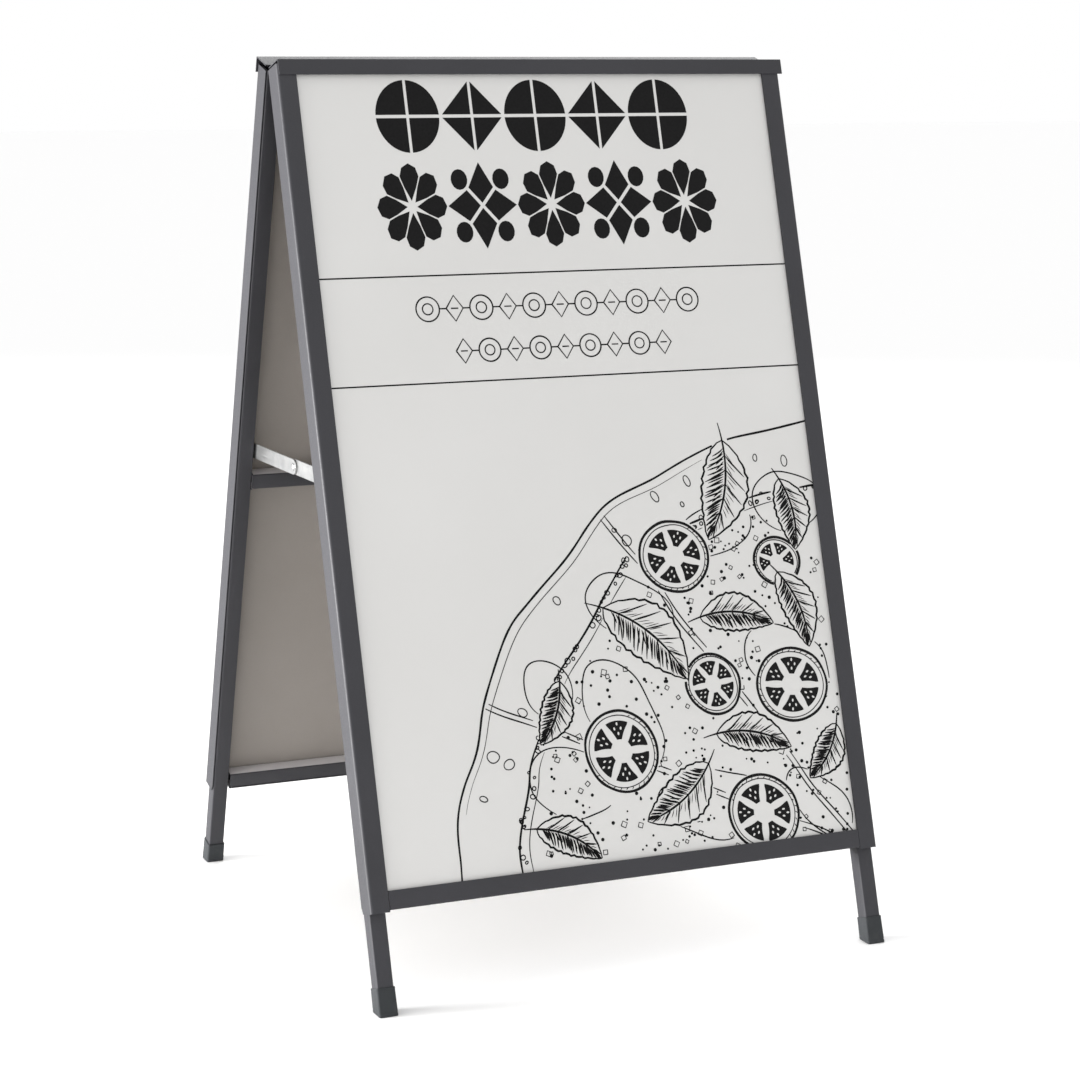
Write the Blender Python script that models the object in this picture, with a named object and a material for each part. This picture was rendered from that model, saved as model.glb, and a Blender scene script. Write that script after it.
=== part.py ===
"""Folding sandwich board (A-frame pavement sign), metres, +Z up.

Two identical leaves are hinged along their top edges. Each leaf is a frame of
square steel tube; folded sheet channels clasp it from the outside and hold a
backing panel and a printed board, and an angle-section cap closes the top.
Two folding stays, one beside each pair of legs, keep the leaves apart.
X runs along the hinge, the front leaf faces -Y, the ground is Z = 0.
"""

import math

import bmesh
import bpy
from mathutils import Euler, Matrix, Vector

# ---------------------------------------------------------------- dimensions
TILT = math.radians(16.7)          # lean of each leaf from the vertical
GAP = 0.0003                       # air between touching pieces

FRAME_WIDTH = 0.630                # over the outer walls of the side channels
TUBE = 0.019                       # square tube, outside
TUBE_WALL = 0.0012
INNER_FACE = 0.0027                # hinge plane to the inner face of the tubes
LEG_INSET = 0.0017                 # side channel outer wall to leg outer face
LEG_TOP = 0.0047                   # below the hinge line, along the leaf
SOLE_V = 1.0556                    # hinge line to front edge of the sole

SHEET = 0.0010                     # channel sheet thickness
CHANNEL_REAR = 0.0017              # rear edge of the side channel wall
CHANNEL_FRONT = 0.0322             # front face of the channels
CHANNEL_CORNER = 0.0035            # bend radius of the front outer corner
STILE_FACE = 0.0225                # width of the side channel's face
RAIL_FACE = 0.0209                 # height of the bottom channel's face
RAIL_BOTTOM = 0.9420
STILE_BOTTOM = 0.9440
LIP = 0.0032                       # inner return that holds the board

CAP_SHEET = 0.0012
CAP_FRONT = 0.0337
CAP_REAR = 0.0006
CAP_NOTCH = 0.0034                 # depth of the notch round each hinge
CAP_FLANGE = 0.0178
FRONT_CAP_X = (-0.3130, 0.3190)
REAR_CAP_X = (-0.3165, 0.3185)
REAR_CAP_RAISE = 0.0030            # the rear cap sits this much higher

BOARD_WIDTH = 0.6096
BOARD_TOP = 0.0065
BOARD_BOTTOM = 0.9405
BACKING = (0.0220, 0.0250)         # depth range of the backing panel
BOARD = (0.0253, 0.0283)           # depth range of the printed board

MID_BAR = (0.5030, 0.5220)         # along the leaf
BOTTOM_BAR = (0.9217, 0.9407)
BOTTOM_BAR_HALF = 0.2920

FOOT_SIDE = 0.0222
FOOT_TOP = 1.0235
FOOT_FLOOR = 0.0032

PIVOT_V = 0.4745                   # stay pivots, along the leaf
PIVOT_W = 0.0122                   # stay pivots, depth in the leaf
BAR_WIDTH = 0.018
BAR_THICK = 0.0020
REAR_BAR_X = 0.2905                # inner side of the rear stay bar
FRONT_BAR_X = 0.2882               # inner side of the front stay bar
PIVOT_HOLE = 0.0026
PIVOT_SHANK = 0.0022

HINGE_X = 0.200                    # centres of the two hinges
HINGE_LENGTH = 0.060
KNUCKLE = 0.0024
HINGE_BORE = 0.0014
HINGE_PIN = 0.0011
HINGE_PLATE = (0.0012, 0.0024)
HINGE_PLATE_BOTTOM = 0.0225
SCREW_X = 0.110                    # cap screws

FOOT_OVER = (FOOT_SIDE - TUBE) / 2
TUBE_FRONT = INNER_FACE + TUBE
HINGE_Z = SOLE_V * math.cos(TILT) - (TUBE_FRONT + FOOT_OVER) * math.sin(TILT)
HALF = FRAME_WIDTH / 2
LEG_OUT = HALF - LEG_INSET
LEG_IN = LEG_OUT - TUBE

# ------------------------------------------------------------------- helpers
for old in list(bpy.data.objects):
    bpy.data.objects.remove(old, do_unlink=True)
scene = bpy.context.scene
scene.unit_settings.system = "METRIC"
scene.unit_settings.scale_length = 1.0


def empty(name, location, rotation=(0, 0, 0), parent=None):
    node = bpy.data.objects.new(name, None)
    node.empty_display_size = 0.05
    node.location = location
    node.rotation_euler = Euler(rotation)
    node.parent = parent
    scene.collection.objects.link(node)
    return node


def material(name, colour, roughness, metallic):
    found = bpy.data.materials.new(name)
    found.use_nodes = True
    found.diffuse_color = (*colour, 1)
    shader = found.node_tree.nodes["Principled BSDF"]
    shader.inputs["Base Color"].default_value = (*colour, 1)
    shader.inputs["Roughness"].default_value = roughness
    shader.inputs["Metallic"].default_value = metallic
    return found


FINISH = {
    "paint": ((0.060, 0.066, 0.078), 0.45, 0.0),
    "board": ((0.80, 0.79, 0.77), 0.35, 0.0),
    "backing": ((0.205, 0.184, 0.160), 0.70, 0.0),
    "zinc": ((0.62, 0.63, 0.64), 0.30, 1.0),
    "rubber": ((0.030, 0.033, 0.032), 0.75, 0.0),
    "nylon": ((0.05, 0.05, 0.055), 0.55, 0.0),
}


def make(name, bm, finish, parent=None, smooth=False):
    bmesh.ops.remove_doubles(bm, verts=bm.verts, dist=1e-6)
    bmesh.ops.recalc_face_normals(bm, faces=bm.faces)
    mesh = bpy.data.meshes.new(name)
    bm.to_mesh(mesh)
    bm.free()
    node = bpy.data.objects.new(name, mesh)
    node.parent = parent
    scene.collection.objects.link(node)
    mesh.materials.append(material(name + "_finish", *FINISH[finish]))
    if smooth:
        mesh.shade_smooth()
        mesh.set_sharp_from_angle(angle=math.radians(35))
    return node


def add_prism(bm, low, high):
    """A closed prism between two rings of points with the same count."""
    bottom = [bm.verts.new(p) for p in low]
    top = [bm.verts.new(p) for p in high]
    bm.faces.new(list(reversed(bottom)))
    bm.faces.new(top)
    for i in range(len(low)):
        j = (i + 1) % len(low)
        bm.faces.new((bottom[i], bottom[j], top[j], top[i]))


def add_sleeve(bm, rings):
    """Quad loops joined in a closed chain: outside end, outside end, inside
    end, inside end, so that the piece is a tube open at both ends."""
    loops = [[bm.verts.new(p) for p in ring] for ring in rings]
    for a, b in zip(loops, loops[1:] + loops[:1]):
        for i in range(len(a)):
            j = (i + 1) % len(a)
            bm.faces.new((a[i], a[j], b[j], b[i]))


def box(bm, x, y, z):
    low = [(x[0], y[0], z[0]), (x[1], y[0], z[0]), (x[1], y[1], z[0]), (x[0], y[1], z[0])]
    add_prism(bm, low, [(p[0], p[1], z[1]) for p in low])


def square(x, y, z):
    return [(x[0], y[0], z), (x[1], y[0], z), (x[1], y[1], z), (x[0], y[1], z)]


def circle(radius, count, x, centre=(0.0, 0.0)):
    return [
        (x, centre[0] + radius * math.cos(2 * math.pi * i / count), centre[1] + radius * math.sin(2 * math.pi * i / count))
        for i in range(count)
    ]


def turned(bm, profile, count, centre=(0.0, 0.0)):
    """A solid of revolution about X: profile is a list of (x, radius)."""
    loops = [[bm.verts.new(p) for p in circle(r, count, x, centre)] for x, r in profile]
    bm.faces.new(loops[0])
    bm.faces.new(list(reversed(loops[-1])))
    for a, b in zip(loops, loops[1:]):
        for i in range(count):
            j = (i + 1) % count
            bm.faces.new((a[i], a[j], b[j], b[i]))


def combine(node, operation, bm):
    """Joins or cuts a helper shape into the node's own mesh."""
    bmesh.ops.recalc_face_normals(bm, faces=bm.faces)
    mesh = bpy.data.meshes.new("helper")
    bm.to_mesh(mesh)
    bm.free()
    helper = bpy.data.objects.new("helper", mesh)
    helper.parent = node.parent
    helper.hide_render = True
    helper.display_type = "WIRE"
    scene.collection.objects.link(helper)
    change = node.modifiers.new("change", "BOOLEAN")
    change.operation = operation
    change.solver = "EXACT"
    change.object = helper
    bpy.context.view_layer.update()
    graph = bpy.context.evaluated_depsgraph_get()
    result = bpy.data.meshes.new_from_object(node.evaluated_get(graph))
    node.modifiers.clear()
    old = node.data
    node.data = result
    result.name = node.name
    bpy.data.meshes.remove(old)
    bpy.data.objects.remove(helper, do_unlink=True)
    bpy.data.meshes.remove(mesh)


def level(height, y):
    """Leaf Z of the plane that lies at this world height, at leaf depth y."""
    return (height - HINGE_Z + y * math.sin(TILT)) / math.cos(TILT)


# ---------------------------------------------------------- pieces of a leaf
# Leaf coordinates: hinge line at the origin, +Z up along the leaf, the outer
# face towards -Y, so a depth w in the tables above is y = -w here.
def leg(name, side, parent):
    outer_x = sorted((side * LEG_OUT, side * LEG_IN))
    inner_x = (outer_x[0] + TUBE_WALL, outer_x[1] - TUBE_WALL)
    outer_y, inner_y = (-TUBE_FRONT, -INNER_FACE), (-TUBE_FRONT + TUBE_WALL, -INNER_FACE - TUBE_WALL)
    cut = FOOT_FLOOR + GAP

    def bottom(x, y):
        return [(px, py, level(cut, py)) for px, py, _ in square(x, y, 0)]

    bm = bmesh.new()
    add_sleeve(bm, [bottom(outer_x, outer_y), square(outer_x, outer_y, -LEG_TOP), square(inner_x, inner_y, -LEG_TOP), bottom(inner_x, inner_y)])
    return make(name, bm, "paint", parent)


def crossbar(name, v, half, parent):
    y = (-TUBE_FRONT, -INNER_FACE)
    z = (-v[1], -v[0])
    inner_y = (y[0] + TUBE_WALL, y[1] - TUBE_WALL)
    inner_z = (z[0] + TUBE_WALL, z[1] - TUBE_WALL)

    def ring(x, a, b):
        return [(x, a[0], b[0]), (x, a[1], b[0]), (x, a[1], b[1]), (x, a[0], b[1])]

    bm = bmesh.new()
    add_sleeve(bm, [ring(-half, y, z), ring(half, y, z), ring(half, inner_y, inner_z), ring(-half, inner_y, inner_z)])
    return make(name, bm, "paint", parent)


def stile(name, side, parent):
    """Side channel: wall beside the leg, face in front, short inner return."""
    r_out, r_in = CHANNEL_CORNER, CHANNEL_CORNER - SHEET
    cx, cy = HALF - r_out, CHANNEL_FRONT - r_out
    outline = [(HALF - SHEET, CHANNEL_REAR), (HALF, CHANNEL_REAR)]
    steps = 4
    for i in range(steps + 1):
        t = math.pi / 2 * i / steps
        outline.append((cx + r_out * math.cos(t), cy + r_out * math.sin(t)))
    inner = HALF - STILE_FACE
    outline += [
        (inner, CHANNEL_FRONT),
        (inner, CHANNEL_FRONT - LIP),
        (inner + SHEET, CHANNEL_FRONT - LIP),
        (inner + SHEET, CHANNEL_FRONT - SHEET),
    ]
    for i in range(steps, -1, -1):
        t = math.pi / 2 * i / steps
        outline.append((cx + r_in * math.cos(t), cy + r_in * math.sin(t)))
    points = [(side * x, -w) for x, w in outline]
    bm = bmesh.new()
    add_prism(bm, [(x, y, -STILE_BOTTOM) for x, y in points], [(x, y, -LEG_TOP) for x, y in points])
    bmesh.ops.recalc_face_normals(bm, faces=bm.faces)
    # the lower rear corner of the wall is trimmed off at a slant
    a, b = Vector((0, -CHANNEL_REAR, -STILE_BOTTOM + 0.011)), Vector((0, -CHANNEL_REAR - 0.0050, -STILE_BOTTOM))
    along = (b - a).normalized()
    normal = Vector((0, -along.z, along.y))
    if normal.y < 0:
        normal = -normal
    cut = bmesh.ops.bisect_plane(bm, geom=bm.verts[:] + bm.edges[:] + bm.faces[:], plane_co=a, plane_no=normal, clear_outer=True)
    bmesh.ops.holes_fill(bm, edges=[e for e in cut["geom_cut"] if isinstance(e, bmesh.types.BMEdge)])
    return make(name, bm, "paint", parent, smooth=True)


def rail(name, parent):
    """Bottom channel: floor under the bottom bar, face in front, top return."""
    bottom, top, front = RAIL_BOTTOM, RAIL_BOTTOM - RAIL_FACE, CHANNEL_FRONT
    r = 0.0015
    outline = [(INNER_FACE, bottom), (front - r, bottom), (front - 0.3 * r, bottom - 0.3 * r), (front, bottom - r), (front, top), (front - LIP, top), (front - LIP, top + SHEET), (front - SHEET, top + SHEET), (front - SHEET, bottom - SHEET), (INNER_FACE, bottom - SHEET)]
    half = HALF - STILE_FACE - GAP
    bm = bmesh.new()
    add_prism(bm, [(-half, -w, -v) for w, v in outline], [(half, -w, -v) for w, v in outline])
    return make(name, bm, "paint", parent)


def cap(name, x, rise, parent):
    """Angle-section cap: flange over the face, plate over the tube ends."""
    outline = [(CAP_REAR, 0.0), (CAP_FRONT - 0.0008, 0.0), (CAP_FRONT, 0.0008), (CAP_FRONT, CAP_FLANGE), (CAP_FRONT - CAP_SHEET, CAP_FLANGE), (CAP_FRONT - CAP_SHEET, CAP_SHEET), (CAP_REAR, CAP_SHEET)]
    bm = bmesh.new()
    add_prism(bm, [(x[0], -w, rise - v) for w, v in outline], [(x[1], -w, rise - v) for w, v in outline])
    node = make(name, bm, "paint", parent)
    for sx in (-SCREW_X, SCREW_X):
        hole = bmesh.new()
        upright(hole, sx, [(rise - 0.003, 0.0023), (rise + 0.002, 0.0023)], 16)
        combine(node, "DIFFERENCE", hole)
    for sx in (-HINGE_X, HINGE_X):
        notch, reach = bmesh.new(), HINGE_LENGTH / 2 + 0.001
        box(notch, (sx - reach, sx + reach), (-CAP_NOTCH, 0.002), (rise - 0.003, rise + 0.002))
        combine(node, "DIFFERENCE", notch)
    return node


SCREW_W = INNER_FACE + TUBE / 2


def upright(bm, x, profile, count):
    """A solid of revolution about the leaf's Z, over the crossbar's middle."""
    loops = []
    for z, r in profile:
        loops.append([bm.verts.new((x + r * math.cos(2 * math.pi * i / count), -SCREW_W + r * math.sin(2 * math.pi * i / count), z)) for i in range(count)])
    bm.faces.new(list(reversed(loops[0])))
    bm.faces.new(loops[-1])
    for a, b in zip(loops, loops[1:]):
        for i in range(count):
            j = (i + 1) % count
            bm.faces.new((a[i], a[j], b[j], b[i]))


def cap_fixing(prefix, label, x, rise, parent):
    """Pan-head screw through the cap, and the nylon spacer under the cap."""
    spacer_top, spacer_low = rise - CAP_SHEET - GAP, -LEG_TOP + GAP
    bm = bmesh.new()
    upright(bm, x, [(spacer_low - 0.0090, 0.0013), (spacer_low - 0.0082, 0.0019), (rise + GAP, 0.0019), (rise + GAP, 0.0040), (rise + 0.0012, 0.0036), (rise + 0.0020, 0.0022)], 16)
    make(f"{prefix}_cap_screw_{label}", bm, "zinc", parent, smooth=True)
    bm = bmesh.new()
    count = 16
    rings = []
    for r, z in ((0.0050, spacer_low), (0.0050, spacer_top), (0.0022, spacer_top), (0.0022, spacer_low)):
        rings.append([(x + r * math.cos(2 * math.pi * i / count), -SCREW_W + r * math.sin(2 * math.pi * i / count), z) for i in range(count)])
    add_sleeve(bm, rings)
    make(f"{prefix}_cap_spacer_{label}", bm, "nylon", parent, smooth=True)


def panel(name, depth, finish, parent):
    half = BOARD_WIDTH / 2
    bm = bmesh.new()
    box(bm, (-half, half), (-depth[1], -depth[0]), (-BOARD_BOTTOM, -BOARD_TOP))
    return make(name, bm, finish, parent)


def foot(name, side, parent):
    """Rubber boot pushed over the end of the leg, with a level sole."""
    middle = side * (LEG_OUT + LEG_IN) / 2
    half = FOOT_SIDE / 2
    hole = TUBE / 2 + GAP
    depth = -(INNER_FACE + TUBE / 2)
    ox, oy = (middle - half, middle + half), (depth - half, depth + half)
    ix, iy = (middle - hole, middle + hole), (depth - hole, depth + hole)

    def at(x, y, height):
        return [(px, py, level(height, py)) for px, py, _ in square(x, y, 0)]

    bm = bmesh.new()
    loops = [[bm.verts.new(p) for p in ring] for ring in (at(ox, oy, 0.0), square(ox, oy, -FOOT_TOP), square(ix, iy, -FOOT_TOP), at(ix, iy, FOOT_FLOOR))]
    bm.faces.new(list(reversed(loops[0])))
    bm.faces.new(loops[-1])
    for a, b in zip(loops, loops[1:]):
        for i in range(4):
            j = (i + 1) % 4
            bm.faces.new((a[i], a[j], b[j], b[i]))
    return make(name, bm, "rubber", parent)


def hinge_leaf(name, x, own, other, parent):
    """Plate against the top bar with knuckles curled round the hinge line.
    own and other are the X spans, from the hinge's middle, of the knuckles."""
    low, high = HINGE_PLATE
    half = HINGE_LENGTH / 2
    bm = bmesh.new()
    box(bm, (x - half, x + half), (-high, -low), (-HINGE_PLATE_BOTTOM, -0.0034))
    node = make(name, bm, "zinc", parent)
    for a, b in own:
        strip = bmesh.new()
        box(strip, (x + a, x + b), (-high, -low), (-0.0060, -0.0004))
        combine(node, "UNION", strip)
        knuckle = bmesh.new()
        turned(knuckle, [(x + a, KNUCKLE), (x + b, KNUCKLE)], 24)
        combine(node, "UNION", knuckle)
    for a, b in own:
        bore = bmesh.new()
        turned(bore, [(x + a - 0.001, HINGE_BORE), (x + b + 0.001, HINGE_BORE)], 16)
        combine(node, "DIFFERENCE", bore)
    node.data.shade_smooth()
    node.data.set_sharp_from_angle(angle=math.radians(35))
    return node


front = empty("front_leaf", (0, 0, HINGE_Z), (-TILT, 0, 0))
rear = empty("rear_leaf", (0, 0, HINGE_Z), (-TILT, 0, math.pi))

# On the rear leaf, turned half round, +X of the leaf lies to the left.
for prefix, parent, sides, cap_x, rise in (
    ("front", front, {"left": -1, "right": 1}, FRONT_CAP_X, 0.0),
    ("rear", rear, {"left": 1, "right": -1}, (-REAR_CAP_X[1], -REAR_CAP_X[0]), REAR_CAP_RAISE),
):
    for label, side in sides.items():
        leg(f"{prefix}_leg_{label}", side, parent)
        stile(f"{prefix}_side_channel_{label}", side, parent)
        foot(f"{prefix}_foot_{label}", side, parent)
        cap_fixing(prefix, label, side * SCREW_X, rise, parent)
    crossbar(f"{prefix}_top_bar", (LEG_TOP, LEG_TOP + TUBE), LEG_IN - GAP, parent)
    crossbar(f"{prefix}_middle_bar", MID_BAR, LEG_IN - GAP, parent)
    crossbar(f"{prefix}_bottom_bar", BOTTOM_BAR, BOTTOM_BAR_HALF, parent)
    rail(f"{prefix}_bottom_channel", parent)
    cap(f"{prefix}_top_cap", cap_x, rise, parent)
    panel(f"{prefix}_backing_panel", BACKING, "backing", parent)
    panel(f"{prefix}_printed_board", BOARD, "board", parent)
    bar = bpy.data.objects[f"{prefix}_top_bar"]
    for sx in (-SCREW_X, SCREW_X):
        hole = bmesh.new()
        upright(hole, sx, [(-LEG_TOP - 0.004, 0.0022), (-LEG_TOP + 0.002, 0.0022)], 16)
        combine(bar, "DIFFERENCE", hole)

# -------------------------------------------------------------------- hinges
CENTRE_SPAN, END_SPANS = [(-0.0116, 0.0116)], [(-0.030, -0.012), (0.012, 0.030)]
for label, x in (("left", -HINGE_X), ("right", HINGE_X)):
    hinge_leaf(f"hinge_{label}_front_leaf", x, CENTRE_SPAN, END_SPANS, front)
    hinge_leaf(f"hinge_{label}_rear_leaf", -x, END_SPANS, CENTRE_SPAN, rear)
    bm = bmesh.new()
    turned(bm, [(x - 0.0298, HINGE_PIN * 0.6), (x - 0.0290, HINGE_PIN), (x + 0.0290, HINGE_PIN), (x + 0.0298, HINGE_PIN * 0.6)], 16)
    make(f"hinge_{label}_pin", bm, "zinc", rear, smooth=True)


# --------------------------------------------------------------------- stays
def leaf_point(parent_tilt_sign, v, w):
    """World Y and Z of a point of a leaf: sign -1 is the front leaf."""
    return (
        parent_tilt_sign * (math.sin(TILT) * v + math.cos(TILT) * w),
        HINGE_Z - math.cos(TILT) * v + math.sin(TILT) * w,
    )


PIVOT_Y, PIVOT_Z = leaf_point(1, PIVOT_V, PIVOT_W)
BAR_LENGTH = PIVOT_Y               # pivot to centre rivet, both bars level


def stay_bar(name, x, direction, parent):
    """Flat bar with round ends, a hole at its pivot and one at the centre."""
    radius, steps = BAR_WIDTH / 2, 10
    outline = []
    for i in range(steps + 1):
        t = math.pi / 2 + math.pi * i / steps
        outline.append((radius * math.cos(t), radius * math.sin(t)))
    for i in range(steps + 1):
        t = -math.pi / 2 + math.pi * i / steps
        outline.append((BAR_LENGTH + radius * math.cos(t), radius * math.sin(t)))
    points = [(direction * y, z) for y, z in outline]
    bm = bmesh.new()
    add_prism(bm, [(x[0], y, z) for y, z in points], [(x[1], y, z) for y, z in points])
    node = make(name, bm, "zinc", parent)
    for y in (0.0, direction * BAR_LENGTH):
        hole = bmesh.new()
        turned(hole, [(x[0] - 0.001, PIVOT_HOLE), (x[1] + 0.001, PIVOT_HOLE)], 16, (y, 0.0))
        combine(node, "DIFFERENCE", hole)
    return node


for label, side in (("left", -1), ("right", 1)):
    rear_axis = empty(f"stay_{label}_rear_axis", (0, PIVOT_Y, PIVOT_Z))
    front_axis = empty(f"stay_{label}_front_axis", (0, -PIVOT_Y, PIVOT_Z))
    outer = sorted((side * REAR_BAR_X, side * (REAR_BAR_X + BAR_THICK)))
    inner = sorted((side * FRONT_BAR_X, side * (FRONT_BAR_X + BAR_THICK)))
    stay_bar(f"stay_{label}_rear_bar", outer, -1, rear_axis)
    stay_bar(f"stay_{label}_front_bar", inner, 1, front_axis)

    leg_side = LEG_IN - GAP
    wall, seat = REAR_BAR_X + BAR_THICK + GAP, 0.0050
    bm = bmesh.new()
    turned(bm, [(side * leg_side, seat), (side * wall, seat), (side * wall, PIVOT_SHANK), (side * (REAR_BAR_X - GAP), PIVOT_SHANK), (side * (REAR_BAR_X - GAP), 0.0045), (side * (REAR_BAR_X - 0.0013), 0.0038), (side * (REAR_BAR_X - 0.0019), 0.0020)], 20)
    make(f"stay_{label}_rear_pivot", bm, "zinc", rear_axis, smooth=True)

    wall = FRONT_BAR_X + BAR_THICK + GAP
    bm = bmesh.new()
    turned(bm, [(side * leg_side, seat), (side * wall, seat), (side * wall, PIVOT_SHANK), (side * (FRONT_BAR_X - GAP), PIVOT_SHANK), (side * (FRONT_BAR_X - GAP), 0.0045), (side * (FRONT_BAR_X - 0.0013), 0.0038), (side * (FRONT_BAR_X - 0.0019), 0.0020)], 20)
    make(f"stay_{label}_front_pivot", bm, "zinc", front_axis, smooth=True)

    # the centre rivet, parted between the two bars
    out = REAR_BAR_X + BAR_THICK
    bm = bmesh.new()
    turned(bm, [(side * (out + 0.0013), 0.0030), (side * (out + 0.0007), 0.0041), (side * (out + GAP), 0.0043), (side * (out + GAP), PIVOT_SHANK), (side * (REAR_BAR_X + 0.0001), PIVOT_SHANK)], 20, (-BAR_LENGTH, 0.0))
    make(f"stay_{label}_rivet_head", bm, "zinc", rear_axis, smooth=True)
    bm = bmesh.new()
    turned(bm, [(side * (FRONT_BAR_X + BAR_THICK - 0.0001), PIVOT_SHANK), (side * (FRONT_BAR_X - GAP), PIVOT_SHANK), (side * (FRONT_BAR_X - GAP), 0.0043), (side * (FRONT_BAR_X - 0.0010), 0.0036), (side * (FRONT_BAR_X - 0.0014), 0.0020)], 20, (BAR_LENGTH, 0.0))
    make(f"stay_{label}_rivet_tail", bm, "zinc", front_axis, smooth=True)

bpy.context.view_layer.update()
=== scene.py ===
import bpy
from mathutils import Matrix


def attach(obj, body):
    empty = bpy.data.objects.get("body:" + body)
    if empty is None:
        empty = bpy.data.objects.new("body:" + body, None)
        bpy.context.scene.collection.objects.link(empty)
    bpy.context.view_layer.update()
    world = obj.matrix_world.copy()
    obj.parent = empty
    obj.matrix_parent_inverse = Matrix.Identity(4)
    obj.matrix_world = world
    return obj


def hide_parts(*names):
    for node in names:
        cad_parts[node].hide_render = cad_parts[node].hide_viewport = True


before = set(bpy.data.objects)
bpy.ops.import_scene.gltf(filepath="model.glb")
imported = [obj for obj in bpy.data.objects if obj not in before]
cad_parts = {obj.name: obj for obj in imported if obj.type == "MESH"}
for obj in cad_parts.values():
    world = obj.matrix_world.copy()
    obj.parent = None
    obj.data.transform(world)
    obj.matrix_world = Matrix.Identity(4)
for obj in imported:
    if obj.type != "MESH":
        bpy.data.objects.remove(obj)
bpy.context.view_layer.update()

import math
import random

import bmesh
import bpy
from mathutils import Matrix, Vector, noise

# ------------------------------------------------------------ dimensions (m)
TILT = math.radians(16.7)
TUBE, TUBE_WALL = 0.019, 0.0012
INNER_FACE = 0.0027
TUBE_FRONT = INNER_FACE + TUBE
SOLE_V = 1.0556
FOOT_SIDE = 0.0222
FOOT_OVER = (FOOT_SIDE - TUBE) / 2
HINGE_Z = SOLE_V * math.cos(TILT) - (TUBE_FRONT + FOOT_OVER) * math.sin(TILT)
HALF = 0.315
LEG_OUT = HALF - 0.0017
LEG_IN = LEG_OUT - TUBE
LEG_TOP = 0.0047
SHEET, CHANNEL_REAR, CHANNEL_FRONT = 0.0010, 0.0017, 0.0322
STILE_FACE, RAIL_FACE = 0.0225, 0.0209
RAIL_BOTTOM, STILE_BOTTOM, LIP = 0.9420, 0.9440, 0.0032
CAP_SHEET, CAP_FRONT, CAP_REAR, CAP_FLANGE = 0.0012, 0.0337, 0.0006, 0.0178
CAP_NOTCH = 0.0034
CAP_V = {"front": 0.0, "rear": -0.0030}
CAP_X = {"front": (-0.3130, 0.3190), "rear": (-0.3165, 0.3185)}
BOARD_HALF, BOARD_TOP, BOARD_BOTTOM = 0.3048, 0.0065, 0.9405
BACKING, BOARD = (0.0220, 0.0250), (0.0253, 0.0283)
MID_BAR, BOTTOM_BAR, BOTTOM_HALF = (0.5030, 0.5220), (0.9217, 0.9407), 0.2920
FOOT_TOP = 1.0235
PIVOT_V, PIVOT_W = 0.4745, 0.0122
BAR_WIDTH, BAR_THICK = 0.018, 0.0020
REAR_BAR_X, FRONT_BAR_X = 0.2905, 0.2882
HINGE_X, HINGE_LENGTH, KNUCKLE = 0.200, 0.060, 0.0024
SCREW_X, SCREW_W = 0.110, INNER_FACE + TUBE / 2
GAP = 0.0003

LEAF = {
    "front": Matrix.Translation((0, 0, HINGE_Z)) @ Matrix.Rotation(-TILT, 4, "X"),
    "rear": Matrix.Translation((0, 0, HINGE_Z)) @ Matrix.Rotation(math.pi, 4, "Z") @ Matrix.Rotation(-TILT, 4, "X"),
}
SIDES = {"front": {"left": -1, "right": 1}, "rear": {"left": 1, "right": -1}}


# ---------------------------------------------------------------- materials
def nodes_of(name):
    mat = bpy.data.materials.new(name)
    mat.use_nodes = True
    tree = mat.node_tree
    shader = tree.nodes["Principled BSDF"]
    coords = tree.nodes.new("ShaderNodeTexCoord")
    return mat, tree, shader, coords.outputs["Object"]


def add_noise(tree, vector, scale, detail=4.0, rough=0.55, stretch=None):
    if stretch:
        m = tree.nodes.new("ShaderNodeMapping")
        m.inputs["Scale"].default_value = stretch
        tree.links.new(vector, m.inputs["Vector"])
        vector = m.outputs["Vector"]
    n = tree.nodes.new("ShaderNodeTexNoise")
    n.inputs["Scale"].default_value = scale
    n.inputs["Detail"].default_value = detail
    n.inputs["Roughness"].default_value = rough
    tree.links.new(vector, n.inputs["Vector"])
    return n.outputs["Fac"]


def add_range(tree, value, low, high, to_low, to_high):
    r = tree.nodes.new("ShaderNodeMapRange")
    r.inputs["From Min"].default_value = low
    r.inputs["From Max"].default_value = high
    r.inputs["To Min"].default_value = to_low
    r.inputs["To Max"].default_value = to_high
    tree.links.new(value, r.inputs["Value"])
    return r.outputs["Result"]


def add_mix(tree, factor, a, b):
    m = tree.nodes.new("ShaderNodeMix")
    m.data_type = "RGBA"
    if isinstance(factor, float):
        m.inputs["Factor"].default_value = factor
    else:
        tree.links.new(factor, m.inputs["Factor"])
    for key, value in (("A", a), ("B", b)):
        socket = [s for s in m.inputs if s.name == key and s.type == "RGBA"][0]
        if isinstance(value, tuple):
            socket.default_value = (*value, 1)
        else:
            tree.links.new(value, socket)
    return [s for s in m.outputs if s.type == "RGBA"][0]


def add_bump(tree, shader, height, strength, distance, previous=None):
    b = tree.nodes.new("ShaderNodeBump")
    b.inputs["Strength"].default_value = strength
    b.inputs["Distance"].default_value = distance
    tree.links.new(height, b.inputs["Height"])
    if previous is not None:
        tree.links.new(previous, b.inputs["Normal"])
    tree.links.new(b.outputs["Normal"], shader.inputs["Normal"])
    return b.outputs["Normal"]


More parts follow.
